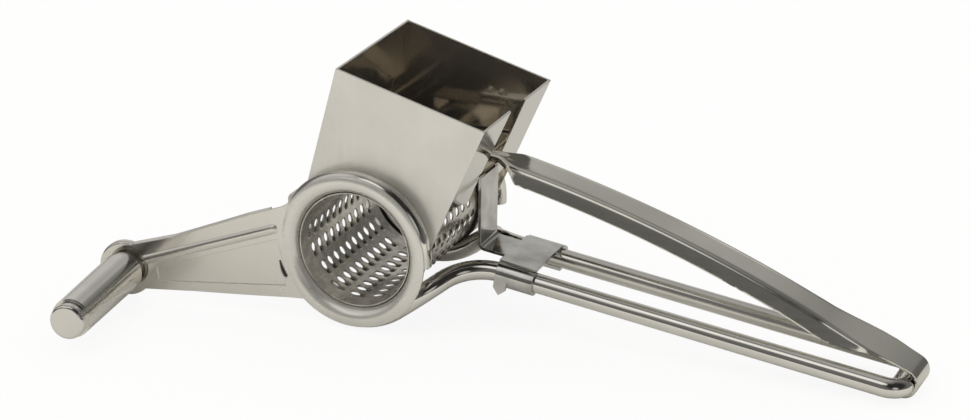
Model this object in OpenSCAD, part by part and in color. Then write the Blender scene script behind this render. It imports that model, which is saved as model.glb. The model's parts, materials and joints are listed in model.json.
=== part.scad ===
// Hand grater: a crank turns a toothed drum inside a wire frame, under a folded sheet hopper with a hinged pusher handle.
// Frame: origin under the middle of the whole object, on the table. X runs from crank to tail, Y to the back, Z up.

/* [Drum] */
// Outer diameter of the two smooth ends of the drum that turn in the wire loops
journal_d = 44.5; // [42:0.1:48]
// Wall of the rolled drum sheet
drum_sheet = 0.5; // [0.4:0.05:0.8]
// Rows of teeth round the drum
tooth_rows = 16; // [8:1:16]
// Teeth in one row
row_teeth = 10; // [5:1:10]
// Distance between teeth along a row
tooth_pitch = 4.93; // [4.9:0.01:5.1]

/* [Wire frame] */
// Diameter of the frame wire
wire_d = 7; // [6:0.1:8]
// Distance from the drum axis to the tail bar
tail_reach = 193.5; // [180:0.5:215]
// Distance between the centre lines of the two rails
rail_spacing = 24.4; // [23:0.1:30]
// Slope of the rails towards the tail, in degrees
rail_fall = 6.4; // [5.4:0.1:6.8]

/* [Hopper] */
// Outer depth of the hopper from front wall to back wall
hopper_depth = 59; // [55:0.5:66]
// Length of the mouth along its sloping rim
mouth_length = 58.1; // [56:0.1:62]
// Height of the mouth above the drum axis, square to the rim
mouth_height = 60.3; // [54:0.5:70]
// Lean of the whole hopper towards the tail, in degrees
hopper_lean = 14.3; // [12:0.1:16]
// Outward flare of the slotted wall, in degrees
flare = 8.75; // [7.5:0.05:10]
// Hopper sheet thickness
sheet = 0.8; // [0.6:0.05:1]

/* [Handle] */
// Width of the channel grip
grip_width = 15.4; // [14:0.1:17.1]
// Depth of the channel's side walls
grip_depth = 6; // [5:0.1:9]
// Width of the narrow neck that runs through the hopper slot
neck_width = 4.8; // [4.2:0.1:8]

/* [Crank] */
// Distance from the drum axis to the knob's spindle
crank_length = 88.2; // [78:0.2:104]
// Knob diameter
knob_d = 14.9; // [12:0.1:18]
// Knob length
knob_length = 53.6; // [40:0.2:70]

/* [Hidden] */
$fn = 96;
fine = 24;
wire_r = wire_d / 2;
journal_r = journal_d / 2;
run_gap = 0.05;
loop_r = journal_r + run_gap + wire_r;
weld_sink = 0.1;
loop_y = hopper_depth / 2 + wire_r - weld_sink;
base_drop = loop_r + wire_r;

grip_sheet = 1.1;
grip_round = 2;
grip_splay = 0.9;
lap = 0.05;
curl_gap = 0.08;
curl_in = wire_r + curl_gap;
curl_out = curl_in + grip_sheet;
tail_z = curl_out - base_drop;

middle_x = 51.087;
middle_y = -31.302;

leave_a = -52.3;
loop_sweep = 310.7;
meet_x = 47.5;
bend_share = 0.85;
tail_bend = 6;
bead = 0.05;
weld_turn = 0.1;

rail_y = rail_spacing / 2;
meet_run = (tail_reach - meet_x) / cos(rail_fall);
loop_from = [loop_r * cos(leave_a), -loop_y, loop_r * sin(leave_a)];
loop_along = [-sin(leave_a), 0, cos(leave_a)];
rail_from = [meet_x, -rail_y, tail_z + meet_run * sin(rail_fall)];
rail_along = [cos(rail_fall), 0, -sin(rail_fall)];
gap_v = rail_from - loop_from;
quad_a = bend_share * bend_share + 1 + 2 * bend_share * (loop_along * rail_along) - (bend_share + 1) * (bend_share + 1);
quad_b = -2 * (bend_share * (gap_v * loop_along) + gap_v * rail_along);
quad_c = gap_v * gap_v;
rail_lead = (-quad_b - sqrt(quad_b * quad_b - 4 * quad_a * quad_c)) / (2 * quad_a);
loop_lead = bend_share * rail_lead;
near_q = loop_from + loop_lead * loop_along;
far_q = rail_from - rail_lead * rail_along;
join_p = near_q + (far_q - near_q) * loop_lead / (loop_lead + rail_lead);
join_along = (far_q - near_q) / norm(far_q - near_q);

side_u = journal_r + 2.45;
mouth_r = mouth_length - side_u;
foot_v = 2;
pass_r = journal_r + 0.35;
lip_r = 3.2;
lip_v = 6.2;
slot_top = 6.4;
slot_low = 8;
flap_out = 33;
flap_in = 39.5;

plate_t = 1.2;
clip_gap = 0.05;
clip_in = wire_r + clip_gap;
clip_out = clip_in + plate_t;
post_x = 35.7;
post_top = 24;
post_top_w = 14.8;
post_low_w = 14.2;
bend_in = 1.6;
clip_right = 60.4;
clip_left = 46.4;

bow_r = 513.8;
bow_run = 240.3;
bow_drop = 450.2;
bow_x = tail_reach - bow_run;
bow_z = tail_z - bow_drop;
reach_d = norm([bow_run, bow_drop]);
reach_a = atan2(bow_run, bow_drop);
bow_end = reach_a - acos((bow_r - curl_out) / reach_d);
grip_start = 47.4;
shoulder_start = 41;
start_a = asin((shoulder_start - bow_x) / bow_r);
grip_start_z = bow_z + bow_r * cos(asin((grip_start - bow_x) / bow_r));
neck_top = bow_z + bow_r * cos(start_a) - lap;
neck_depth = 3;
neck_left = 9;
strap_end_w = rail_spacing - wire_d - 2 * (tail_bend - wire_r) - 0.6;

crank_turn = -12.2;
arm_bend = 7.5;
arm_t = 1;
arm_far = crank_length - loop_r;
flange_in = wire_r + 0.2;
flange_out = flange_in + 0.5;
collar_t = 0.9;
shell_r = journal_r - collar_t - run_gap;
shell_back = 27;
cup_lap = 2;
cup_lip = 0.8;
cup_bore = 20.4;
seam_gap = 14.4;
row_turn = (360 - seam_gap) / tooth_rows;
first_row = 172.5;
first_tooth = -26.2;
tooth_r = 1.4;
tooth_rise = 0.8;
dimple_r = 0.95;
dimple_depth = 0.9;
hole_r = 0.75;
hole_turn = 4.4;
lobe_r = 10.2;
rim_reach = loop_r + 2.3;
arm_front = loop_y + flange_out;
edge_depth = 3.6;
rib_r = 2.2;
rib_sink = 1.3;
panel_sink = 0.45;
spindle_r = 2.5;
knob_wall = 0.8;
washer_t = 2;
knob_gap = 0.1;
cap_t = 4.6;
cap_r = 6.3;
sleeve_end_r = 7.1;
spindle_stop = 2;

pusher_gap = 0.6;
bridge_left = -9;
bridge_l = 28;
bridge_w = 12;
rivet_spots = [12, 17];

module stand() {
    translate([-middle_x, -middle_y, base_drop]) children();
}

module at_tail() {
    translate([tail_reach, 0, tail_z]) rotate([0, rail_fall, 0]) children();
}

module in_hopper() {
    rotate([0, hopper_lean, 0]) children();
}

module on_crank() {
    rotate([0, crank_turn, 0]) children();
}

module on_arm() {
    on_crank() translate([-loop_r, arm_t - arm_front, 0]) rotate([0, 0, arm_bend]) children();
}

module at_knob() {
    on_arm() translate([loop_r - crank_length, 0, 0]) rotate([90, 0, 0]) children();
}

module both_sides() {
    children();
    mirror([0, 1, 0]) children();
}

module side_cut(width) {
    translate([0, width / 2, 0]) rotate([90, 0, 0]) linear_extrude(width) children();
}

module bent_wire(from, along, to) {
    chord = to - from;
    across = chord - (chord * along) * along;
    inward = across / norm(across);
    bend_r = (chord * chord) / (2 * (chord * inward));
    turn = 2 * atan2(chord * inward, chord * along);
    ex = -inward;
    ez = cross(ex, along);
    translate(from + bend_r * inward)
        rotate([atan2(along[2], ez[2]), -asin(ex[2]), atan2(ex[1], ex[0])]) rotate([0, 0, weld_turn])
            rotate_extrude(angle = turn - 2 * weld_turn) translate([bend_r, 0]) circle(r = wire_r);
}

module weld_bead(at, along) {
    translate(at) rotate([0, acos(along[2]), atan2(along[1], along[0])])
        cylinder(r = wire_r + bead, h = 0.6, center = true);
}

module drum_loop() {
    translate([0, -loop_y, 0]) rotate([90, 0, 0]) rotate([0, 0, leave_a - loop_sweep])
        rotate_extrude(angle = loop_sweep - weld_turn) translate([loop_r, 0]) circle(r = wire_r);
}

module tail_corner() {
    translate([-tail_bend, -rail_y + tail_bend, 0]) rotate([0, 0, -90])
        rotate_extrude(angle = 90) translate([tail_bend, 0]) circle(r = wire_r);
}

module wire_frame() {
    color([0.78, 0.77, 0.74]) union() {
        both_sides() {
            drum_loop();
            bent_wire(loop_from, loop_along, join_p);
            bent_wire(join_p, join_along, rail_from);
            weld_bead(loop_from, loop_along);
            weld_bead(join_p, join_along);
            weld_bead(rail_from, rail_along);
            at_tail() {
                translate([bead - meet_run, -rail_y, 0]) rotate([0, 90, 0])
                    cylinder(r = wire_r, h = meet_run - tail_bend - bead);
                tail_corner();
            }
        }
        at_tail() rotate([90, 0, 0]) cylinder(r = wire_r, h = 2 * (rail_y - tail_bend), center = true);
    }
}

module saddle_strip() {
    bend_x = post_x + plate_t + bend_in;
    bend_z = (clip_out + bend_in - (bend_x - tail_reach) * sin(rail_fall)) / cos(rail_fall) + tail_z;
    translate([post_x, bend_z]) square([plate_t, post_top - bend_z]);
    translate([bend_x, bend_z]) {
        difference() {
            circle(r = bend_in + plate_t);
            circle(r = bend_in);
            translate([-10, 0]) square([20, 10]);
            rotate(-rail_fall) translate([0, -10]) square([10, 20]);
        }
        rotate(-rail_fall) translate([0, -bend_in - plate_t]) square([(clip_right - bend_x) / cos(rail_fall), plate_t]);
    }
}

module saddle_outline() {
    full_y = rail_y;
    polygon([[post_x - 1, -post_low_w / 2], [clip_left, -post_low_w / 2], [clip_left, -full_y],
             [clip_right + 9, -full_y], [clip_right + 9, full_y], [clip_left, full_y],
             [clip_left, post_low_w / 2], [post_x - 1, post_low_w / 2]]);
}

module saddle_clip() {
    clip_len = (clip_right - clip_left) / cos(rail_fall);
    at_tail() translate([-(tail_reach - clip_left) / cos(rail_fall), -rail_y, 0]) {
        rotate([0, 90, 0]) difference() {
            cylinder(r = clip_out, h = clip_len);
            translate([0, 0, -1]) cylinder(r = clip_in, h = clip_len + 2);
            translate([-10, 0, -1]) cube([10 + clip_in * 0.8, 10, clip_len + 2]);
            translate([0, 1.6, -1]) cube([10, 10, clip_len + 2]);
        }
        translate([0, plate_t - clip_out, 0]) rotate([90, 0, 0]) linear_extrude(plate_t)
            polygon([[0, 0], [0, -4], [2.2, -6.6], [4.6, -4.4], [4.6, 0]]);
    }
}

module saddle_bracket() {
    color([0.66, 0.66, 0.63]) union() {
        intersection() {
            side_cut(rail_spacing + 1) saddle_strip();
            union() {
                rotate([0, rail_fall, 0]) translate([0, 0, -40]) linear_extrude(47.5) saddle_outline();
                translate([post_x - 1, 0, 0]) rotate([90, 0, 90]) linear_extrude(3)
                    polygon([[-post_low_w / 2, -4], [-post_top_w / 2, post_top + 1], [post_top_w / 2, post_top + 1],
                             [post_low_w / 2, -4]]);
            }
        }
        both_sides() saddle_clip();
    }
}

module end_wall() {
    rotate([90, 0, 0]) linear_extrude(sheet) difference() {
        polygon([[-side_u, mouth_height], [mouth_r, mouth_height],
                 [mouth_r - (mouth_height - foot_v) * tan(flare), foot_v], [-side_u, foot_v]]);
        circle(r = pass_r);
    }
}

module rolled_lip() {
    translate([sheet - side_u - lip_r, 0, lip_v]) side_cut(hopper_depth) difference() {
        circle(r = lip_r);
        circle(r = lip_r - sheet);
        polygon([[0, 0], [lip_r + 1, 0], [lip_r + 1, lip_r + 1], [0.6, lip_r + 1]]);
    }
}

module slot_flap() {
    translate([mouth_r, 0, mouth_height]) rotate([0, flare, 0]) translate([-sheet, 0, 0]) rotate([90, 0, 90])
        linear_extrude(sheet) polygon([[-hopper_depth / 2, 0.11], [-slot_top, 0.11], [-slot_low, -flap_in],
                                       [-hopper_depth / 2, -flap_out]]);
}

module hopper_shell() {
    color([0.74, 0.73, 0.7]) in_hopper() difference() {
        union() {
            translate([0, sheet - hopper_depth / 2, 0]) end_wall();
            translate([0, hopper_depth / 2, 0]) end_wall();
            translate([-side_u, -hopper_depth / 2, lip_v]) cube([sheet, hopper_depth, mouth_height - lip_v]);
            rolled_lip();
            both_sides() slot_flap();
        }
        translate([-100, -100, mouth_height]) cube([200, 200, 10]);
    }
}

module tooth_spots(turn) {
    for (row = [0 : tooth_rows - 1]) for (step = [0 : row_teeth - 1])
        rotate([0, -(first_row + turn + row_turn * row), 0])
            translate([0, first_tooth + tooth_pitch * (step + (row % 3) / 3), 0]) rotate([0, 90, 0]) children();
}

module drum_shell() {
    inner_r = shell_r - drum_sheet;
    color([0.7, 0.69, 0.66]) difference() {
        union() {
            translate([0, -loop_y - 1, 0]) rotate([-90, 0, 0]) cylinder(r = shell_r, h = loop_y + 1 + shell_back);
            tooth_spots(0) translate([0, 0, shell_r - tooth_rise]) cylinder(r = tooth_r, h = 2 * tooth_rise, $fn = 48);
        }
        rotate([90, 0, 0]) cylinder(r = inner_r, h = 120, center = true);
        tooth_spots(0) translate([0, 0, inner_r - 2.5]) cylinder(r = dimple_r, h = 2.5 + dimple_depth, $fn = 48);
        tooth_spots(hole_turn) translate([0, 0, inner_r - 2.5]) cylinder(r = hole_r, h = 6, $fn = 48);
    }
}

module drum_end_cup() {
    color([0.72, 0.71, 0.68]) translate([0, shell_back, 0]) rotate([-90, 0, 0]) difference() {
        translate([0, 0, -cup_lap]) cylinder(r = journal_r, h = loop_y + wire_r + cup_lap - shell_back);
        translate([0, 0, -cup_lap - 1]) cylinder(r = shell_r + run_gap, h = cup_lap + 1);
        translate([0, 0, -1]) cylinder(r = cup_bore, h = 30);
        translate([0, 0, cup_lip]) cylinder(r = journal_r - collar_t, h = 30);
    }
}

module crank_flange() {
    rotate([90, 0, 0]) translate([0, 0, loop_y]) rotate_extrude() union() {
        difference() {
            translate([loop_r, 0]) circle(r = flange_out);
            translate([loop_r, 0]) circle(r = flange_in);
            translate([0, -20]) square([200, 20]);
            translate([rim_reach, -20]) square([20, 60]);
        }
        polygon([[journal_r - collar_t, -7], [journal_r, -7], [journal_r, 0.4], [loop_r - flange_in - 0.1, 0.4],
                 [loop_r - flange_out + 0.02, 0.4], [journal_r - collar_t, -1.2]]);
    }
}

module arm_outline() {
    polygon([[8.7, 20.5], [1.9, 18], [-11.3, 16.1], [-23.7, 13.7], [-41.2, 10.4], [2 - arm_far, 8.6], [-arm_far, 0],
             [6 - arm_far, -8.2], [-38.4, -10.5], [-19.6, -13.3], [-0.8, -15.9], [5.3, -17]]);
}

module arm_edge() {
    polygon([[-3, 17.29], [-11.3, 16.1], [-23.7, 13.7], [-41.2, 10.4], [2 - arm_far, 8.6], [2 - arm_far, 7.8],
             [-41.2, 9.6], [-23.7, 12.9], [-11.3, 15.3], [-3, 16.49]]);
}

module arm_panel() {
    polygon([[12 - arm_far, -0.4], [-2.2, 6.3], [-1.4, -6], [-2.6, -11.2], [-27.2, -8.4], [12 - arm_far, -5.6]]);
}

module flat_layer(front, back) {
    translate([0, back - arm_t, 0]) rotate([90, 0, 0]) linear_extrude(back - front) children();
}

module arm_rib(r) {
    rib_from = [8.5 - arm_far, rib_sink - arm_t, 2.7];
    rib_to = [-2.8, rib_sink - arm_t, 10.1];
    rib_run = rib_to - rib_from;
    intersection() {
        translate(rib_from) rotate([0, atan2(rib_run[0], rib_run[2]), 0]) rotate_extrude() intersection() {
            union() {
                square([r, norm(rib_run)]);
                circle(r = r);
                translate([0, norm(rib_run)]) circle(r = r);
            }
            translate([0, -r - 1]) square([r + 1, norm(rib_run) + 2 * r + 2]);
        }
        translate([-100, -8, -50]) cube([200, 8.2, 100]);
    }
}

module lobe() {
    rotate_extrude() union() {
        square([lobe_r - 1, arm_t]);
        intersection() {
            translate([lobe_r - 1, 0]) circle(r = 1, $fn = 48);
            translate([lobe_r - 1.01, 0]) square(2);
        }
        translate([lobe_r - 0.8, -1.6]) square([0.8, 1.61]);
    }
}

module crank_plate() {
    color([0.76, 0.75, 0.72]) union() {
        on_crank() crank_flange();
        difference() {
            on_arm() difference() {
                union() {
                    flat_layer(0, arm_t) arm_outline();
                    flat_layer(0, edge_depth) arm_edge();
                    flat_layer(arm_t - 0.2, arm_t + panel_sink) arm_panel();
                    arm_rib(rib_r);
                }
                arm_rib(rib_r - 0.8);
                flat_layer(-1, panel_sink) arm_panel();
            }
            on_crank() rotate([90, 0, 0]) cylinder(r = loop_r - 0.5, h = 60);
            on_crank() rotate([90, 0, 0]) translate([0, 0, loop_y]) rotate_extrude() translate([loop_r, 0])
                circle(r = flange_in);
        }
        at_knob() lobe();
    }
}

module knob_spindle() {
    color([0.6, 0.6, 0.58]) at_knob() translate([0, 0, arm_t])
        cylinder(r = spindle_r, h = knob_length - cap_t - spindle_stop, $fn = 48);
}

module spindle_head() {
    color([0.6, 0.6, 0.58]) at_knob() intersection() {
        translate([0, 0, 2.8]) sphere(r = 4.6, $fn = 48);
        translate([0, 0, -3]) cylinder(r = 6, h = 3);
    }
}

module knob_sleeve() {
    sleeve_l = knob_length - cap_t - washer_t - knob_gap;
    color([0.8, 0.79, 0.76]) at_knob() translate([0, 0, arm_t + washer_t + knob_gap]) difference() {
        union() {
            cylinder(r = knob_d / 2 - 0.8, h = 1);
            translate([0, 0, 1]) cylinder(r1 = knob_d / 2, r2 = sleeve_end_r, h = sleeve_l - 1);
        }
        translate([0, 0, -1]) cylinder(r = spindle_r + run_gap, h = knob_length, $fn = 48);
        translate([0, 0, 2]) cylinder(r = sleeve_end_r - knob_wall, h = knob_length);
    }
}

module knob_cap() {
    color([0.8, 0.79, 0.76]) at_knob() translate([0, 0, arm_t + knob_length - cap_t]) union() {
        cylinder(r = sleeve_end_r - 0.3, h = 0.8);
        rotate_extrude() union() {
            square([cap_r - 1.2, cap_t]);
            square([cap_r, cap_t - 1.2]);
            intersection() {
                translate([cap_r - 1.2, cap_t - 1.2]) circle(r = 1.2, $fn = 48);
                translate([cap_r - 1.21, cap_t - 1.21]) square(2);
            }
        }
    }
}

module knob_washer() {
    color([0.62, 0.61, 0.58]) at_knob() translate([0, 0, arm_t]) difference() {
        cylinder(r = knob_d / 2 - 2, h = washer_t);
        translate([0, 0, -1]) cylinder(r = spindle_r + run_gap, h = washer_t + 2, $fn = 48);
    }
}

module rounded_bar(w, d, r) {
    polygon(concat([[-w / 2 - grip_splay, -d], [w / 2 + grip_splay, -d]],
                   [for (a = [0 : 18 : 90]) [w / 2 - r + r * cos(a), r * sin(a) - r]],
                   [for (a = [90 : 18 : 180]) [r - w / 2 + r * cos(a), r * sin(a) - r]]));
}

module channel(w, d) {
    difference() {
        rounded_bar(w, d, grip_round);
        translate([0, -grip_sheet]) rounded_bar(w - 2 * grip_sheet, d, grip_round - grip_sheet);
    }
}

module grip_bow() {
    translate([bow_x, 0, bow_z]) rotate([90, 0, 0]) rotate([0, 0, 90 - bow_end])
        rotate_extrude(angle = bow_end - start_a) translate([bow_r, 0]) rotate(-90) channel(grip_width, grip_depth);
}

module tail_strap() {
    reach = reach_d * sin(reach_a - bow_end);
    narrow = reach - 12;
    translate([tail_reach, 0, tail_z]) rotate([0, bow_end, 0]) {
        intersection() {
            translate([-reach - 1, 0, curl_out - lap]) rotate([90, 0, 90]) linear_extrude(reach + 1)
                channel(grip_width - 2 * lap, grip_depth - lap);
            translate([-reach, 0, curl_out - 20]) linear_extrude(40)
                polygon([[-2, -grip_width], [4, -grip_width / 2], [narrow, -strap_end_w / 2],
                         [reach, -strap_end_w / 2], [reach, strap_end_w / 2], [narrow, strap_end_w / 2],
                         [4, grip_width / 2], [-2, grip_width]]);
            translate([-reach, 0, curl_out]) side_cut(40)
                polygon([[-2, 1], [-2, -grip_depth - 1], [0, -grip_depth - 1], [7, 1.4 - grip_depth],
                         [10, 3.4 - grip_depth], [15, -lap - grip_sheet], [reach, -lap - grip_sheet], [reach, 1]]);
        }
        side_cut(strap_end_w - 2 * lap) difference() {
            circle(r = curl_out);
            circle(r = curl_in);
            polygon([[-1, 0], [-1, 20], [-20, 20], [-20, -14]]);
        }
    }
}

module neck() {
    translate([neck_left, 0, neck_top]) difference() {
        translate([0, -neck_width / 2, -neck_depth]) cube([shoulder_start + 4 - neck_left, neck_width, neck_depth]);
        translate([-1, grip_sheet - neck_width / 2, -neck_depth - 1])
            cube([80, neck_width - 2 * grip_sheet, neck_depth + 1 - grip_sheet]);
    }
}

module handle_grip() {
    color([0.55, 0.55, 0.52]) union() {
        difference() {
            grip_bow();
            side_cut(40) polygon([[shoulder_start - 2, neck_top - grip_sheet - 0.3], [grip_start, grip_start_z - grip_sheet - 0.3],
                                  [grip_start + 3.2, grip_start_z - grip_depth - 0.3],
                                  [grip_start + 3.2, grip_start_z - 20], [shoulder_start - 2, grip_start_z - 20]]);
            both_sides() translate([0, 0, grip_start_z - 10]) linear_extrude(20)
                polygon([[shoulder_start - 2, neck_width / 2], [shoulder_start + 0.5, neck_width / 2],
                         [grip_start, grip_width / 2 - 0.6], [grip_start + 3, grip_width], [shoulder_start - 2, grip_width]]);
        }
        tail_strap();
        neck();
    }
}

module tray_block(inset) {
    low_r = journal_r + pusher_gap + inset;
    difference() {
        polygon([[-14.6 + inset, 28], [-17.6 + inset, 14.5 + inset], [29.5 - inset, 19 + inset], [34.2 - inset, 28]]);
        circle(r = low_r);
    }
}

module pusher_tray() {
    color([0.68, 0.67, 0.64]) difference() {
        side_cut(hopper_depth - 2 * sheet - 3) tray_block(0);
        side_cut(hopper_depth - 4 * sheet - 3) union() {
            tray_block(sheet);
            translate([-13.8, 24]) square([47, 10]);
        }
    }
}

module pusher_bridge() {
    bridge_top = neck_top - neck_depth;
    color([0.6, 0.59, 0.56]) side_cut(bridge_w) difference() {
        translate([bridge_left, 0]) square([bridge_l, bridge_top]);
        translate([bridge_left + sheet, 0]) square([bridge_l - 2 * sheet, bridge_top - sheet]);
        circle(r = journal_r + pusher_gap + sheet);
    }
}

module bridge_rivet() {
    color([0.6, 0.6, 0.58]) for (spot = rivet_spots) translate([spot, 0, neck_top]) intersection() {
        sphere(r = 1.9, $fn = fine);
        cylinder(r = 3, h = 3);
    }
}

stand() wire_frame();
stand() saddle_bracket();
stand() hopper_shell();
stand() drum_shell();
stand() drum_end_cup();
stand() crank_plate();
stand() knob_spindle();
stand() spindle_head();
stand() knob_sleeve();
stand() knob_cap();
stand() knob_washer();
stand() handle_grip();
stand() pusher_tray();
stand() pusher_bridge();
stand() bridge_rivet();
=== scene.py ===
import json
import math

import bpy
from mathutils import Matrix, Vector


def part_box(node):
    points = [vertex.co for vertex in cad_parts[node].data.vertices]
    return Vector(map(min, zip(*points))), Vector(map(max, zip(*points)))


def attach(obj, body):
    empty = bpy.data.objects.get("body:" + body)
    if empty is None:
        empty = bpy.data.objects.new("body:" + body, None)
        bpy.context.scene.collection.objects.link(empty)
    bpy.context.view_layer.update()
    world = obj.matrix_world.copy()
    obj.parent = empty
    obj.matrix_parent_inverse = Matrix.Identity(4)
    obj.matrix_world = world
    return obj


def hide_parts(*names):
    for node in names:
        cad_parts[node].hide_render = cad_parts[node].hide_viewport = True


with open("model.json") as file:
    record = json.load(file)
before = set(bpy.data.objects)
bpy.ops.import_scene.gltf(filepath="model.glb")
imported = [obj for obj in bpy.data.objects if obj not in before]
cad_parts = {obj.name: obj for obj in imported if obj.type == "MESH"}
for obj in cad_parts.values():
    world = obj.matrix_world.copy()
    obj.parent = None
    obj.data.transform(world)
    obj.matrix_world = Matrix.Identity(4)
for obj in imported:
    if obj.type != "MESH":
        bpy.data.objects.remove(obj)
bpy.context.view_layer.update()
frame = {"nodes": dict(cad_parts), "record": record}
nodes = frame["nodes"]
joint_at = {j["name"]: j["pos_m"] for j in frame["record"]["behaviour"]["joints"]}
axle = joint_at["crank_turn"]


def from_axle(x, y, z):
    """A place in the frame, from its distances in mm to the middle of the drum."""
    return (axle[0] + x / 1000, axle[1] + y / 1000, axle[2] + z / 1000)


# Shader nodes.
def feed(nt, socket, value):
    """Link a socket where the value is a socket too, and else set it to the value."""
    if isinstance(value, bpy.types.NodeSocket):
        nt.links.new(value, socket)
    else:
        socket.default_value = value


def noise(nt, vector, scale, detail):
    cloud = nt.nodes.new("ShaderNodeTexNoise")
    feed(nt, cloud.inputs["Scale"], scale)
    feed(nt, cloud.inputs["Detail"], detail)
    feed(nt, cloud.inputs["Vector"], vector)
    return cloud.outputs["Fac"]


def remap(nt, value, start, end, low=0.0, high=1.0, easing="LINEAR"):
    """A value carried from the range start to end onto low to high, and held beyond both ends."""
    part = nt.nodes.new("ShaderNodeMapRange")
    part.interpolation_type = easing
    for name, number in (("From Min", start), ("From Max", end), ("To Min", low), ("To Max", high)):
        part.inputs[name].default_value = number
    feed(nt, part.inputs["Value"], value)
    return part.outputs["Result"]


def two_colours(nt, factor, first, last, start=0.0, end=1.0):
    """A colour that runs from the first to the last as the factor goes from start to end."""
    ramp = nt.nodes.new("ShaderNodeValToRGB")
    low, high = ramp.color_ramp.elements
    low.position = start
    high.position = end
    low.color = first
    high.color = last
    feed(nt, ramp.inputs["Fac"], factor)
    return ramp.outputs["Color"]


def combine(nt, operation, *values):
    """One number from the numbers or sockets given."""
    step = nt.nodes.new("ShaderNodeMath")
    step.operation = operation
    for socket, value in zip(step.inputs, values):
        feed(nt, socket, value)
    return step.outputs["Value"]


def combine_vectors(nt, operation, first, second, result="Value"):
    step = nt.nodes.new("ShaderNodeVectorMath")
    step.operation = operation
    feed(nt, step.inputs[0], first)
    feed(nt, step.inputs[1], second)
    return step.outputs[result]


def mixed(nt, kind, factor, first, second):
    """The first value where the factor is 0 and the second where it is 1; kind is FLOAT or RGBA."""
    mix = nt.nodes.new("ShaderNodeMix")
    mix.data_type = kind
    feed(nt, mix.inputs["Factor"], factor)
    feed(nt, mix.inputs["A"], first)
    feed(nt, mix.inputs["B"], second)
    return mix.outputs["Result"]


def mixed_shaders(nt, factor, first, second):
    mix = nt.nodes.new("ShaderNodeMixShader")
    nt.links.new(factor, mix.inputs["Fac"])
    nt.links.new(first, mix.inputs[1])
    nt.links.new(second, mix.inputs[2])
    return mix.outputs["Shader"]


def bumped(nt, height, distance, normal=None):
    """The surface's normal with relief of a height up to the distance, in metres."""
    bump = nt.nodes.new("ShaderNodeBump")
    bump.inputs["Strength"].default_value = 1.0
    bump.inputs["Distance"].default_value = distance
    nt.links.new(height, bump.inputs["Height"])
    if normal is not None:
        nt.links.new(normal, bump.inputs["Normal"])
    return bump.outputs["Normal"]


def coordinate(nt, kind):
    """The place or the normal that a texture is laid out by, such as in the object's own space."""
    return nt.nodes.new("ShaderNodeTexCoord").outputs[kind]


def axis_of(nt, vector, axis):
    split = nt.nodes.new("ShaderNodeSeparateXYZ")
    nt.links.new(vector, split.inputs["Vector"])
    return split.outputs[axis]


def ray_is(nt, kind):
    return nt.nodes.new("ShaderNodeLightPath").outputs[kind]


# Materials: polished and satin stainless steel.
MARKS_ACROSS, MARKS_ALONG = 900.0, 25.0
RIPPLES = 38.0
CLOUD_SHADE = 0.9


def steel(name, tint, rough, wave, grain, grain_axis,
          spots=0.0, metal=1.0, vary=0.35, patch=55.0, soften=0.0):
    """Polished sheet or wire: soft cloudy gloss, faint ripples from forming, and fine rubbing marks.

    wave and grain are the heights of the ripples and of the marks, which run along grain_axis, and
    soften is the radius of the edges, all in metres. spots darkens the clouds, whose scale is patch,
    and vary is the share by which the roughness changes.
    """
    m = bpy.data.materials.new(name)
    m.use_nodes = True
    nt = m.node_tree
    nt.nodes.clear()
    out = nt.nodes.new("ShaderNodeOutputMaterial")
    bsdf = nt.nodes.new("ShaderNodeBsdfPrincipled")
    nt.links.new(bsdf.outputs["BSDF"], out.inputs["Surface"])
    bsdf.inputs["Metallic"].default_value = metal
    place = coordinate(nt, "Object")

    dark = [c * (CLOUD_SHADE - spots) for c in tint]
    clouds = noise(nt, place, patch, 4.0)
    colour = two_colours(nt, clouds, (*dark, 1.0), (*tint, 1.0), start=0.3, end=0.75)
    nt.links.new(colour, bsdf.inputs["Base Color"])

    stretch = nt.nodes.new("ShaderNodeMapping")
    scale = [MARKS_ACROSS] * 3
    scale[grain_axis] = MARKS_ALONG
    stretch.inputs["Scale"].default_value = scale
    nt.links.new(place, stretch.inputs["Vector"])
    marks = noise(nt, stretch.outputs["Vector"], 1.0, 3.0)
    gloss = remap(nt, marks, 0.3, 0.7, rough * (1 - vary), rough * (1 + vary))
    nt.links.new(gloss, bsdf.inputs["Roughness"])

    normal = None
    if soften:
        rounded = nt.nodes.new("ShaderNodeBevel")
        rounded.inputs["Radius"].default_value = soften
        normal = rounded.outputs["Normal"]
    normal = bumped(nt, noise(nt, place, RIPPLES, 1.5), wave, normal)
    nt.links.new(bumped(nt, marks, grain, normal), bsdf.inputs["Normal"])
    return m


def masked(m, mask, tint, rough, metal=None):
    """Another tint and gloss, and another share of metal if given, where the mask is 1."""
    nt = m.node_tree
    bsdf = nt.nodes["Principled BSDF"]
    for name, value in (("Base Color", (*tint, 1.0)), ("Roughness", rough), ("Metallic", metal)):
        if value is None:
            continue
        socket = bsdf.inputs[name]
        was = socket.links[0].from_socket if socket.links else socket.default_value
        kind = "RGBA" if name == "Base Color" else "FLOAT"
        nt.links.new(mixed(nt, kind, mask, was, value), socket)


def inner_side(m, middle):
    """A mask of the faces that look towards the middle of a hollow box."""
    nt = m.node_tree
    outwards = combine_vectors(nt, "SUBTRACT", coordinate(nt, "Object"), middle, "Vector")
    facing = combine_vectors(nt, "DOT_PRODUCT", outwards, coordinate(nt, "Normal"))
    return remap(nt, facing, 0.002, -0.002)


def beyond(m, axis, start, end):
    """A mask that rises from 0 to 1 between two places along an axis of the object."""
    nt = m.node_tree
    return remap(nt, axis_of(nt, coordinate(nt, "Object"), axis), start, end)


def not_front(m):
    """A mask that is 0 on faces that look to the front and 1 on all others."""
    nt = m.node_tree
    return remap(nt, axis_of(nt, coordinate(nt, "Normal"), "Y"), -0.85, -0.6)


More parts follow.
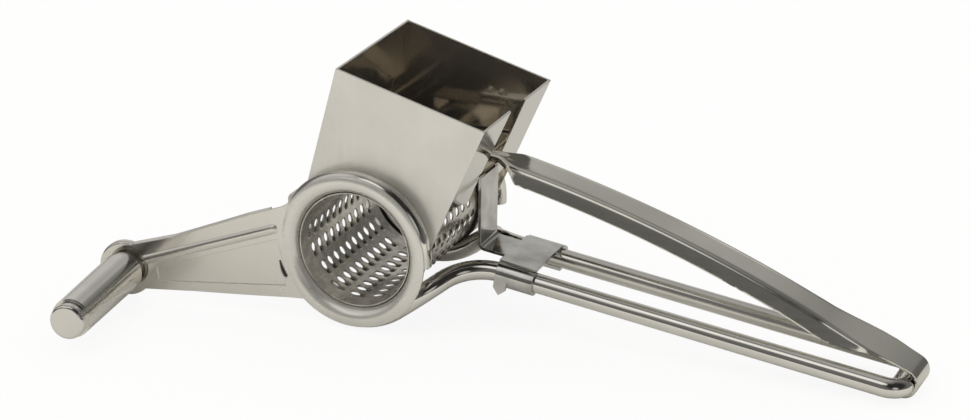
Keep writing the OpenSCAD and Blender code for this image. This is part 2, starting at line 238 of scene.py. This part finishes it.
def painted_edge_shade(m, y, spots):
    """A mask of painted shade: a row of small spots, given as x, z and radius in mm from the axle."""
    nt = m.node_tree
    place = coordinate(nt, "Object")
    total = 0.0
    for x, z, radius in spots:
        away = combine_vectors(nt, "DISTANCE", place, from_axle(x, y, z))
        spot = remap(nt, away, radius * 0.0012, radius * 0.0007)
        total = combine(nt, "MAXIMUM", total, spot)
    return total


def painted_dent_shade(m):
    """A mask of painted shade in the pressed dents and at the sheet's back end, kept on the drum's own
    mesh.
    """
    dent_shade = m.node_tree.nodes.new("ShaderNodeAttribute")
    dent_shade.attribute_name = "dent_shade"
    return dent_shade.outputs["Fac"]


X, Y, Z = 0, 1, 2
sheet_steel = steel("sheet_steel", (0.78, 0.765, 0.72), 0.1, 0.0006, 0.000002, Z)
# Painted reflection: the saddle's cloud patches are darkened more, for dark reflections on it.
saddle_steel = steel("saddle_steel", (0.75, 0.75, 0.72), 0.1, 0.0006, 0.000002, X,
                     spots=0.32, patch=110.0, soften=0.0003)
hopper_steel = steel("hopper_steel", (0.77, 0.755, 0.71), 0.34, 0.0003, 0.0000008, Z,
                     metal=0.75, vary=0.12, soften=0.0003)
crank_steel = steel("crank_steel", (0.79, 0.775, 0.73), 0.3, 0.0002, 0.000001, X,
                    metal=0.75, vary=0.12, soften=0.0004)
wire_steel = steel("wire_steel", (0.82, 0.805, 0.765), 0.08, 0.0002, 0.000001, X)
handle_steel = steel("handle_steel", (0.70, 0.69, 0.635), 0.13, 0.0001, 0.000002, X)
drum_steel = steel("drum_steel", (0.78, 0.755, 0.69), 0.22, 0.0004, 0.000004, Y,
                   metal=0.85, spots=0.3, patch=300.0)
cup_steel = steel("cup_steel", (0.76, 0.735, 0.68), 0.3, 0.0002, 0.000003, Y, metal=0.8)
knob_steel = steel("knob_steel", (0.78, 0.765, 0.725), 0.16, 0.00005, 0.000003, Y)
spindle_steel = steel("spindle_steel", (0.66, 0.645, 0.6), 0.22, 0.0001, 0.000004, Y)

# The hopper's front is satin and its other faces are polished. Its inside mirrors itself, and the darker,
# browner tint there is painted shade of the hollow.
hopper_mid = [(a + b) / 2 for a, b in zip(*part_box("hopper_shell"))]
masked(hopper_steel, not_front(hopper_steel), (0.74, 0.725, 0.68), rough=0.12, metal=1.0)
# Painted shade: the inside faces get a darker, browner tint.
masked(hopper_steel, inner_side(hopper_steel, hopper_mid), (0.7, 0.64, 0.55), rough=0.09, metal=0.94)

# The arm is polished towards the knob, and a short near-black line of painted shade lies beside the ring.
ARM_GLOSS = (axle[0] - 0.025, axle[0] - 0.034)
EDGE_SHADE_Y = -37.2
EDGE_SHADE_SPOTS = [
    (-27.36, -8.08, 0.5),
    (-27.15, -8.9, 0.6),
    (-26.9, -9.73, 0.7),
    (-26.6, -10.55, 0.8),
    (-26.28, -11.35, 0.9),
    (-25.8, -12.15, 1.0),
    (-25.35, -12.91, 1.0),
]
masked(crank_steel, beyond(crank_steel, "X", *ARM_GLOSS), (0.76, 0.74, 0.69), rough=0.15, metal=0.98)
# Painted shade: the row of spots beside the ring is painted near black.
masked(crank_steel, painted_edge_shade(crank_steel, EDGE_SHADE_Y, EDGE_SHADE_SPOTS), (0.05, 0.045, 0.04), rough=0.5)

# The dents behind the teeth and the front of the drum's end ring are painted dark: painted shade in the
# dents' hollows, and a painted shadow in the gap where the sheet meets the ring.
CUP_GAP_SHADE = (axle[1] + 0.028, axle[1] + 0.0278)
# Painted shade: the dents are painted near black, most where they are pressed deepest, and the sheet's back
# end is painted fully dark.
masked(drum_steel, painted_dent_shade(drum_steel), (0.07, 0.062, 0.052), rough=0.5)
# Painted shadow: the front of the end ring is painted near black, in the gap where the sheet meets it.
masked(cup_steel, beyond(cup_steel, "Y", *CUP_GAP_SHADE), (0.04, 0.035, 0.03), rough=0.6)

finish = {
    "wire_frame": wire_steel,
    "saddle_bracket": saddle_steel,
    "hopper_shell": hopper_steel,
    "drum_shell": drum_steel,
    "drum_end_cup": cup_steel,
    "crank_plate": crank_steel,
    "knob_spindle": spindle_steel,
    "spindle_head": spindle_steel,
    "knob_sleeve": knob_steel,
    "knob_cap": knob_steel,
    "knob_washer": spindle_steel,
    "handle_grip": handle_steel,
    "pusher_tray": sheet_steel,
    "pusher_bridge": sheet_steel,
    "bridge_rivet": spindle_steel,
}
for name, obj in nodes.items():
    obj.data.materials.clear()
    obj.data.materials.append(finish[name])


# Pieces made here.
def new_mesh(name, verts, faces, material):
    mesh = bpy.data.meshes.new(name)
    mesh.from_pydata(verts, [], faces)
    mesh.update()
    mesh.materials.append(material)
    return mesh


def new_object(name, data):
    obj = bpy.data.objects.new(name, data)
    bpy.context.scene.collection.objects.link(obj)
    return obj


def smooth_sheet(mesh, thick):
    """An object whose mesh is the outer skin of a sheet, with the sheet's thickness in mm."""
    for poly in mesh.polygons:
        poly.use_smooth = True
    obj = new_object(mesh.name, mesh)
    wall = obj.modifiers.new("sheet", "SOLIDIFY")
    wall.thickness = thick / 1000
    wall.offset = -1.0
    return obj


# The toothed drum sheet.
def drum_sheet():
    """The rolled sheet with its punched teeth: every tooth is a scoop pressed outwards beside its hole.

    The mesh is a grid of turns round the drum and lines along it. Each tooth has its own cell of the grid,
    and every row starts a third of a tooth further than the row before.
    """
    rows, teeth, pitch = 16, 10, 4.93
    first_row, row_turn, first_tooth = 173.8, 21.6, -26.9
    outer, thick = 21.3, 0.5
    # Painted shadow: the sheet beyond dark_end is painted fully dark, in the gap where it meets the end
    # ring.
    front, back, dark_end = -33.9, 27.0, 26.0
    around, along, gap_steps = 20, 12, 13
    half_i, half_j = 4, 3
    hole_t, hole_y = 1.7, 1.35
    rise, peak_t, up_t, down_t, half_y = 0.9, 2.6, 1.1, 2.1, 1.4
    steepness, darkening = 1.3, 1.6

    step_t = math.radians(row_turn / around) * outer
    step_y = pitch / along
    gap_turn = 360.0 - rows * row_turn
    turns = [first_row - row_turn / 2 + row_turn * i / around for i in range(rows * around)]
    turns += [turns[0] + rows * row_turn + gap_turn * i / gap_steps for i in range(gap_steps)]
    low = math.ceil((front - first_tooth) / step_y)
    high = math.floor((back - first_tooth) / step_y)
    steps = list(range(low, high + 1))
    lines = [front] + [first_tooth + step_y * k for k in steps] + [back]
    last = len(lines) - 1

    def from_first(i, j):
        """Steps of a grid point round the drum from its row's middle, and along it from the first tooth."""
        row, col = divmod(i, around)
        return col - around // 2, steps[j - 1] - along * (row % 3) // 3

    def warp(di, dj):
        """Grid points round a hole pulled onto its oval outline, fading out over as many cells again."""
        reach = max(abs(di) / half_i, abs(dj) / half_j)
        if reach == 0 or reach >= 2:
            return di * step_t, dj * step_y
        turn = math.atan2(dj / half_j, di / half_i)
        oval_t = math.cos(turn) * hole_t * reach
        oval_y = math.sin(turn) * hole_y * reach
        keep = max(0.0, reach - 1)
        return oval_t * (1 - keep) + di * step_t * keep, oval_y * (1 - keep) + dj * step_y * keep

    def scoop(t, y):
        """Height of the pressed tooth at a place beside its hole's middle."""
        u = (t - peak_t) / (up_t if t < peak_t else down_t)
        q = u * u + (y / half_y) ** 2
        return rise * (1 - q) ** steepness if q < 1 else 0.0

    def point(i, j):
        """Turn, radius and place along the drum of one grid point, and how much painted shade its dent
        gets.
        """
        a, y = math.radians(turns[i]), lines[j]
        if i >= rows * around or j in (0, last):
            return a, outer, y, 0.0
        di, k = from_first(i, j)
        tooth = min(teeth - 1, max(0, round(k / along)))
        dj = k - along * tooth
        t, w = warp(di, dj)
        height = scoop(t, w)
        a += (t - di * step_t) / outer
        return a, outer + height, y + (w - dj * step_y), min(1.0, darkening * height / rise)

    def in_hole(i, j):
        """Whether the grid's face after this point is punched out."""
        if i >= rows * around or not 0 < j < last - 1:
            return False
        di, k = from_first(i, j)
        tooth = min(teeth - 1, max(0, (k + half_j) // along))
        return -half_i <= di < half_i and -half_j <= k - along * tooth < half_j

    verts, faces, dent_shades = [], [], []
    count, wide = len(turns), len(lines)
    for i in range(count):
        for j in range(wide):
            a, r, y, dent_shade = point(i, j)
            dent_shades.append(1.0 if lines[j] > dark_end else dent_shade)
            verts.append(from_axle(r * math.cos(a), y, r * math.sin(a)))
    for i in range(count):
        for j in range(last):
            if not in_hole(i, j):
                here, beside = i * wide + j, (i + 1) % count * wide + j
                faces.append((here, here + 1, beside + 1, beside))

    mesh = new_mesh("drum_teeth", verts, faces, drum_steel)
    mesh.attributes.new("dent_shade", "FLOAT", "POINT").data.foreach_set("value", dent_shades)
    obj = smooth_sheet(mesh, thick)
    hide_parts("drum_shell")
    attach(obj, "crank")


drum_sheet()


# The handle: one sheet from the neck in the hopper to the curl round the tail bar.
def handle_sheet():
    """A folded channel with splayed sides that opens out into the strap and curls loosely round the bar."""
    bow_r, bow_run, bow_drop, curl_cad = 513.8, 240.3, 450.2, 4.68
    thick, curl_r, curl_off, curl_sweep = 1.05, 5.4, 0.72, 228.0
    neck_from, shoulder, curl_key = 9.0, 41.0, 196.0
    neck_steps, bow_steps, strap_steps, curl_steps = 20, 110, 32, 32
    groove_steps, fillet_steps, side_steps = 4, 5, 4
    edge_width, edge_angle = 0.00018, 50
    # x, half width, fillet, tilt and length of the side, depth of the groove on top
    shape = [
        (9.0, 2.4, 1.1, 2, 1.9, 0.7),
        (38.5, 2.4, 1.1, 2, 1.9, 0.7),
        (42.0, 3.3, 1.2, 8, 1.2, 0.7),
        (47.4, 7.5, 2.3, 17, 0.5, 0.2),
        (50.8, 7.9, 2.7, 18, 3.8, 0.0),
        (155.0, 7.9, 2.7, 18, 4.0, 0.0),
        (164.0, 8.0, 2.5, 18, 4.4, 0.0),
        (170.0, 8.5, 2.0, 20, 3.9, 0.0),
        (176.0, 9.1, 1.6, 27, 2.5, 0.0),
        (181.0, 9.3, 1.2, 50, 1.1, 0.0),
        (186.0, 8.8, 0.9, 80, 0.4, 0.0),
        (191.0, 8.1, 0.8, 88, 0.2, 0.0),
        (curl_key, 7.8, 0.8, 88, 0.2, 0.0),
    ]

    def sizes(x):
        for low, high in zip(shape, shape[1:]):
            if x <= high[0]:
                part = max(0.0, (x - low[0]) / (high[0] - low[0]))
                return [p + (q - p) * part for p, q in zip(low[1:], high[1:])]
        return shape[-1][1:]

    def section(half, fillet, tilt, side, groove):
        """The outer skin across the channel, from one lower edge over the top to the other."""
        right = []
        for k in range(groove_steps + 1):
            f = k / groove_steps
            right.append((f * (half - fillet), -groove * math.cos(math.pi * f / 2) ** 2))
        for k in range(1, fillet_steps + 1):
            a = math.radians(90 - (90 - tilt) * k / fillet_steps)
            right.append((half - fillet + fillet * math.cos(a), fillet * math.sin(a) - fillet))
        edge_y, edge_d = right[-1]
        a = math.radians(tilt)
        for k in range(1, side_steps + 1):
            right.append((edge_y + math.sin(a) * side * k / side_steps,
                          edge_d - math.cos(a) * side * k / side_steps))
        return [(-y, d) for y, d in reversed(right[1:])] + right

    # The line along the middle of the skin, as x, z and its slope.
    tail_x, tail_z = [(joint_at["handle_swing"][k] - axle[k]) * 1000 for k in (X, Z)]
    bow_x, bow_z = tail_x - bow_run, tail_z - bow_drop
    reach = math.hypot(bow_run, bow_drop)
    bow_end = math.atan2(bow_run, bow_drop) - math.acos((bow_r - curl_cad) / reach)
    first = math.asin((shoulder - bow_x) / bow_r)
    top = bow_z + bow_r * math.cos(first)
    path = [(neck_from + (shoulder - neck_from) * k / neck_steps, top, 0.0) for k in range(neck_steps)]
    for k in range(bow_steps + 1):
        a = first + (bow_end - first) * k / bow_steps
        path.append((bow_x + bow_r * math.sin(a), bow_z + bow_r * math.cos(a), a))
    curl_x, curl_z = tail_x - curl_off, tail_z + curl_off
    begin_x, begin_z = path[-1][:2]
    end_x, end_z = curl_x + curl_r * math.sin(bow_end), curl_z + curl_r * math.cos(bow_end)
    run = math.hypot(end_x - begin_x, end_z - begin_z)
    for k in range(1, strap_steps + 1):
        q = k / strap_steps
        ease = q * q * (3 - 2 * q)
        from_x, from_z = begin_x + math.cos(bow_end) * run * q, begin_z - math.sin(bow_end) * run * q
        goal_x = end_x - math.cos(bow_end) * run * (1 - q)
        goal_z = end_z + math.sin(bow_end) * run * (1 - q)
        path.append((from_x + (goal_x - from_x) * ease, from_z + (goal_z - from_z) * ease, bow_end))
    stations = [(x, z, a, x) for x, z, a in path]
    for k in range(1, curl_steps + 1):
        a = bow_end + math.radians(curl_sweep) * k / curl_steps
        stations.append((curl_x + curl_r * math.sin(a), curl_z + curl_r * math.cos(a), a, curl_key))

    verts, faces = [], []
    for x, z, a, key in stations:
        spread = section(*sizes(key))
        for y, d in spread:
            verts.append(from_axle(x + d * math.sin(a), y, z + d * math.cos(a)))
    wide = len(spread)
    for i in range(len(stations) - 1):
        for j in range(wide - 1):
            here, beside = i * wide + j, (i + 1) * wide + j
            faces.append((here, beside, beside + 1, here + 1))
    obj = smooth_sheet(new_mesh("handle_sheet", verts, faces, handle_steel), thick)
    edge = obj.modifiers.new("edge", "BEVEL")
    edge.width = edge_width
    edge.segments = 2
    edge.limit_method = "ANGLE"
    edge.angle_limit = math.radians(edge_angle)
    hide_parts("handle_grip")
    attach(obj, "handle")


handle_sheet()


# The camera, matched to the photograph.
def photo_camera():
    az, el, roll = math.radians(23.64), math.radians(21.83), math.radians(0.9)
    away = 1.09822
    target = Vector((0.03531, 0.0, 0.00836))
    sensor, focal_px, image_px = 36.0, 3099.54, 970.0

    def level(v):
        return Vector((v.x * math.cos(roll) - v.z * math.sin(roll), v.y,
                       v.x * math.sin(roll) + v.z * math.cos(roll)))

    back = Vector((math.sin(az) * math.cos(el), -math.cos(az) * math.cos(el), math.sin(el)))
    right = Vector((math.cos(az), math.sin(az), 0.0))
    up = back.cross(right)
    place = level(target + back * away) + Vector(axle)
    cols = [level(right), level(up), level(back), place]
    data = bpy.data.cameras.new("photo_camera")
    data.sensor_fit = "HORIZONTAL"
    data.sensor_width = sensor
    data.lens = sensor * focal_px / image_px
    data.clip_start = 0.05
    data.clip_end = 20.0
    cam = new_object("photo_camera", data)
    cam.matrix_world = Matrix([[c[row] for c in cols] for row in range(3)] + [[0, 0, 0, 1]])
    bpy.context.scene.camera = cam


photo_camera()


# Floor, light and surroundings.
def tone(level):
    """A warm grey of the given brightness."""
    return (level, level * 0.985, level * 0.945, 1.0)


def floor():
    """A pale floor, white to the camera, whose image in the metal is painted darker towards the back, as
    painted shade.
    """
    half, drop, glow_share = 6.0, 0.0002, 0.9
    lean, near, far = -0.5, -0.4, 0.6
    m = bpy.data.materials.new("floor_white")
    m.use_nodes = True
    nt = m.node_tree
    b = nt.nodes["Principled BSDF"]
    b.inputs["Roughness"].default_value = 0.9
    place = coordinate(nt, "Object")
    across = combine(nt, "MULTIPLY_ADD", axis_of(nt, place, "X"), lean, axis_of(nt, place, "Y"))
    # Painted shade: the floor seen in the metal darkens towards the back.
    mirrored = two_colours(nt, remap(nt, across, near, far), tone(0.95), tone(0.38))
    colour = mixed(nt, "RGBA", ray_is(nt, "Is Glossy Ray"), (0.93, 0.93, 0.92, 1.0), mirrored)
    nt.links.new(colour, b.inputs["Base Color"])
    glow = nt.nodes.new("ShaderNodeEmission")
    glow.inputs["Color"].default_value = (1.0, 1.0, 1.0, 1.0)
    share = combine(nt, "MULTIPLY", ray_is(nt, "Is Camera Ray"), glow_share)
    surface = mixed_shaders(nt, share, b.outputs["BSDF"], glow.outputs["Emission"])
    nt.links.new(surface, nt.nodes["Material Output"].inputs["Surface"])
    corners = [(-half, -half, 0), (half, -half, 0), (half, half, 0), (-half, half, 0)]
    obj = new_object("floor", new_mesh("floor", corners, [(0, 1, 2, 3)], m))
    obj.location.z = -drop


def area(name, place, aim, size, power):
    """A soft square lamp that the metal doesn't mirror."""
    data = bpy.data.lights.new(name, "AREA")
    data.shape = "RECTANGLE"
    data.size = size
    data.size_y = size
    data.energy = power
    obj = new_object(name, data)
    obj.location = place
    obj.visible_glossy = False
    obj.rotation_euler = (Vector(aim) - Vector(place)).to_track_quat("-Z", "Y").to_euler()


def towards(az, el):
    """Direction for an azimuth from the front (positive to the tail) and an elevation, in degrees."""
    a, e = math.radians(az), math.radians(el)
    return (math.sin(a) * math.cos(e), -math.cos(a) * math.cos(e), math.sin(e))


def card(nt, where, az, el, half, soft, level):
    """A soft round card of light in the surroundings, seen by the metal only as a reflection."""
    near = combine_vectors(nt, "DOT_PRODUCT", where, towards(az, el))
    outer = math.cos(math.radians(half + soft))
    inner = math.cos(math.radians(max(0.0, half - soft)))
    return remap(nt, near, outer, inner, 0.0, level, easing="SMOOTHSTEP")


def background(nt, colour, strength=1.0):
    shader = nt.nodes.new("ShaderNodeBackground")
    shader.inputs["Color"].default_value = colour
    feed(nt, shader.inputs["Strength"], strength)
    return shader.outputs["Background"]


def surroundings(low, high, dark, cards):
    """White to the camera, an even grey as light, and a dim room with cards of light to the metal.

    low and high are the room's levels at the horizon and overhead. The dark card takes light away from
    them, and every other card adds some; each is azimuth, elevation, half width and softness in degrees,
    and level.
    """
    w = bpy.data.worlds.new("studio")
    bpy.context.scene.world = w
    w.use_nodes = True
    nt = w.node_tree
    nt.nodes.clear()
    out = nt.nodes.new("ShaderNodeOutputWorld")
    where = coordinate(nt, "Generated")
    room = two_colours(nt, axis_of(nt, where, "Z"), (low, low, low, 1), (high, high, high, 1))
    left = combine(nt, "SUBTRACT", 1.0, card(nt, where, *dark))
    total = combine(nt, "MULTIPLY", room, left)
    for spot in cards:
        total = combine(nt, "ADD", total, card(nt, where, *spot))
    lit = mixed_shaders(nt, ray_is(nt, "Is Glossy Ray"), background(nt, tone(0.9)),
                        background(nt, tone(1.0), total))
    seen = mixed_shaders(nt, ray_is(nt, "Is Camera Ray"), lit, background(nt, (1, 1, 1, 1)))
    nt.links.new(seen, out.inputs["Surface"])


DARK = (60, 45, 38, 14, 0.86)
CARDS = [
    (-70, 42, 24, 10, 0.42),
    (-28, 38, 9, 4, 0.78),
    (-6, 58, 13, 5, 0.85),
    (-155, 12, 18, 8, 0.46),
    (-143, 44, 15, 8, 0.22),
    (-176, 32, 9, 5, 0.2),
    (180, 23.5, 2.4, 1.5, 0.5),
    (50, 18, 10, 6, 0.5),
    (172, 31, 10, 6, 0.1),
    (-160, 70, 15, 9, 0.22),
    (60, 82, 12, 8, 0.16),
]
OBJECT_MIDDLE = (0, 0, 0.03)
floor()
surroundings(0.13, 0.2, DARK, CARDS)
area("key", (-0.5, -0.6, 1.5), OBJECT_MIDDLE, 0.5, 3.0)
area("back", (0.4, 0.9, 1.5), OBJECT_MIDDLE, 0.4, 1.0)

bpy.context.scene.view_settings.view_transform = "Standard"
